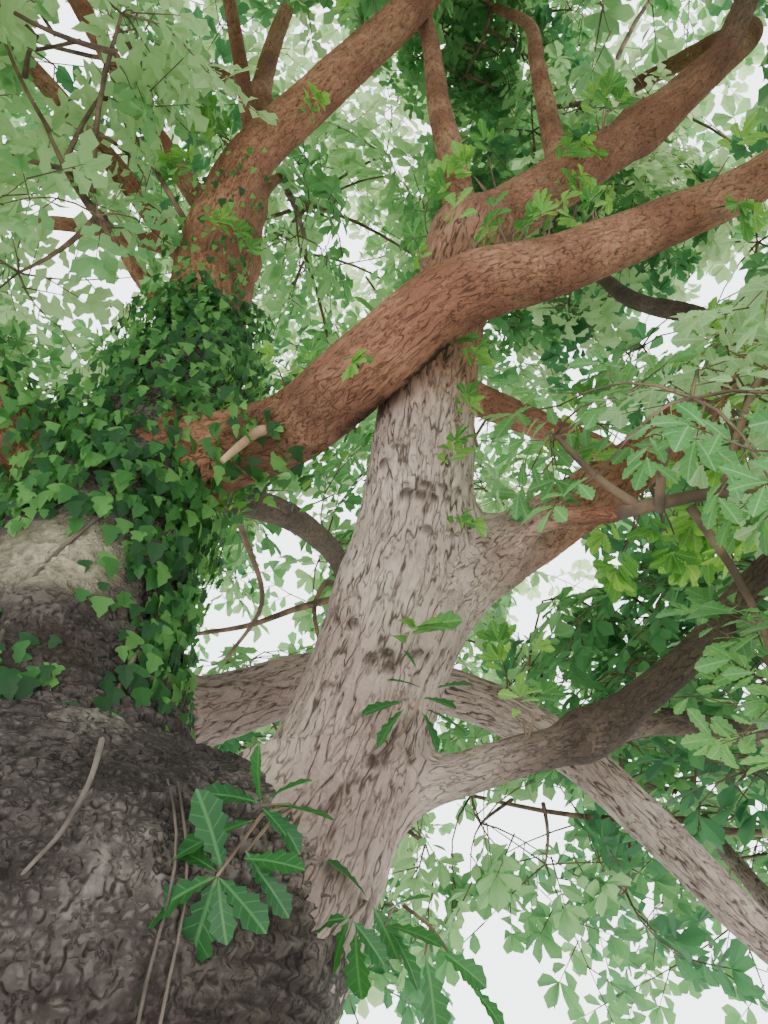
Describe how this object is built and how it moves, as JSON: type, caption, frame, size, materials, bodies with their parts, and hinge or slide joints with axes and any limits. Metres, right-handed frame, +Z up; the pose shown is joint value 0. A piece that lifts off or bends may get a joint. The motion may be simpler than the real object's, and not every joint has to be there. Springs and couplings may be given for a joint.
{
  "type": "oak tree",
  "caption": "Broad old oak with a short flared bole that forks low into a thick ivy-clad stem and a slimmer leaning one, crossing boughs and a full domed crown in summer leaf.",
  "frame": {"origin": "middle of the flat cut under the bole, at ground level", "axes": "+Z up; -Y is the front; +X is the side that the slimmer stem leans to"},
  "size_m": [14.6115, 14.6393, 14.7948],
  "materials": {
    "bark_grey": "rough grey-brown bark, deeply furrowed",
    "bark_brown": "finer reddish-brown bark",
    "leaves": "soft green oak leaves, yellow-green where light shines through",
    "ivy": "glossy dark green ivy leaves"
  },
  "bodies": {
    "root": {"bole": "bark_grey", "left_stem": "bark_grey", "right_stem": "bark_grey", "left_leader": "bark_brown", "overhead_bough": "bark_brown", "crossing_bough": "bark_brown", "upper_bough": "bark_brown", "dark_arm": "bark_brown", "upright_bough": "bark_brown", "far_upright_bough": "bark_brown", "mid_bough": "bark_brown", "near_bough": "bark_brown", "riser_bough": "bark_brown", "back_limb": "bark_brown", "low_bough": "bark_brown", "fork_limb": "bark_brown", "fork_limb_low": "bark_brown", "rear_bough": "bark_brown", "front_left_bough": "bark_brown", "front_right_bough": "bark_brown", "high_front_bough": "bark_brown", "inner_left_bough": "bark_brown", "skirt_bough_5": "bark_brown", "skirt_bough_6": "bark_brown", "skirt_bough_7": "bark_brown", "shoulder_bough_4": "bark_brown", "shoulder_bough_5": "bark_brown", "shoulder_bough_6": "bark_brown", "upper_bough_3": "bark_brown", "upper_bough_4": "bark_brown", "upper_bough_5": "bark_brown", "leaves_top_1": "leaves", "leaves_upper_1": "leaves", "leaves_shoulder_1": "leaves", "leaves_upper_2": "leaves", "leaves_shoulder_8": "leaves", "leaves_inner_front": "leaves", "leaves_inner_high": "leaves", "leaves_shoulder_2": "leaves", "leaves_near_right": "leaves", "leaves_inner_right": "leaves", "leaves_shoulder_3": "leaves", "leaves_skirt_3": "leaves", "leaves_skirt_1": "leaves", "leaves_skirt_2": "leaves", "leaves_skirt_4": "leaves", "leaves_skirt_8": "leaves", "leaves_skirt_9": "leaves", "leaves_shoulder_7": "leaves", "leaves_inner_left": "leaves", "leaves_skirt_5": "leaves", "leaves_skirt_6": "leaves", "leaves_skirt_7": "leaves", "leaves_shoulder_4": "leaves", "leaves_shoulder_5": "leaves", "leaves_shoulder_6": "leaves", "leaves_upper_3": "leaves", "leaves_upper_4": "leaves", "leaves_upper_5": "leaves", "ivy": "ivy"}
  },
  "joints": []
}
